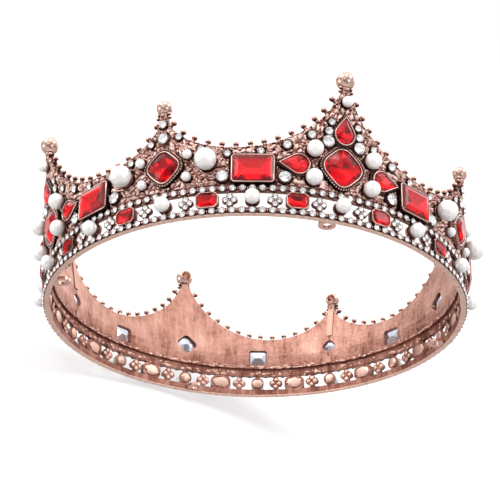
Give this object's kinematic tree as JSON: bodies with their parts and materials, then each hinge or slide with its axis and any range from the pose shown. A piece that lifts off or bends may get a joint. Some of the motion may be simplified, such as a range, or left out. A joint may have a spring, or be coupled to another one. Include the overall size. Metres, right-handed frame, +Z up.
{
  "type": "crown",
  "caption": "Round rose-gold baroque crown with scalloped spikes, red stones, pearls and rhinestones over an openwork band.",
  "frame": {"origin": "centre of the crown on the plane of its bottom rim", "axes": "+Z up along the crown's axis, -Y towards the front valley with its large rectangular stone, +X to the viewer's right"},
  "size_m": [0.1728, 0.1728, 0.0583],
  "materials": {
    "rose_metal": "antiqued rose-gold plating over a cast alloy: pinkish copper high points, dark brown patina in the recesses, rough cast relief outside and brushed inside",
    "polished_rose_metal": "smooth bright rose-gold plating, lightly polished",
    "solder": "plated solder bead, satin",
    "red_glass": "foil-backed faceted red glass, polished",
    "clear_glass": "foil-backed faceted clear glass, polished",
    "stone_foil": "silver foil coating of a stone's back",
    "pearl": "imitation pearl with a soft nacre sheen",
    "peg_metal": "plain cast peg, hidden in its pearl"
  },
  "bodies": {
    "root": {"front_panel": "rose_metal", "right_panel": "rose_metal", "rear_panel": "rose_metal", "left_panel": "rose_metal", "seam_bezel_cups": "rose_metal", "seam_solder": "solder", "rim_loops": "rose_metal", "tall_finial_balls": "polished_rose_metal", "short_finial_balls": "polished_rose_metal", "large_cushion_stones": "red_glass", "small_cushion_stones": "red_glass", "rectangle_stones": "red_glass", "top_pear_stones": "red_glass", "side_pear_stones": "red_glass", "band_octagon_stones": "red_glass", "large_cushion_foils": "stone_foil", "small_cushion_foils": "stone_foil", "rectangle_foils": "stone_foil", "large_clear_stones": "clear_glass", "medium_clear_stones": "clear_glass", "small_clear_stones": "clear_glass", "lower_rail_stones": "clear_glass", "upper_rail_stones": "clear_glass", "quatrefoil_stones": "clear_glass", "band_pearls": "pearl", "large_pearls": "pearl", "medium_pearls": "pearl", "small_pearls": "pearl", "tip_pearls": "pearl", "band_pearl_pegs": "peg_metal", "wall_pearl_pegs": "peg_metal"}
  },
  "joints": []
}
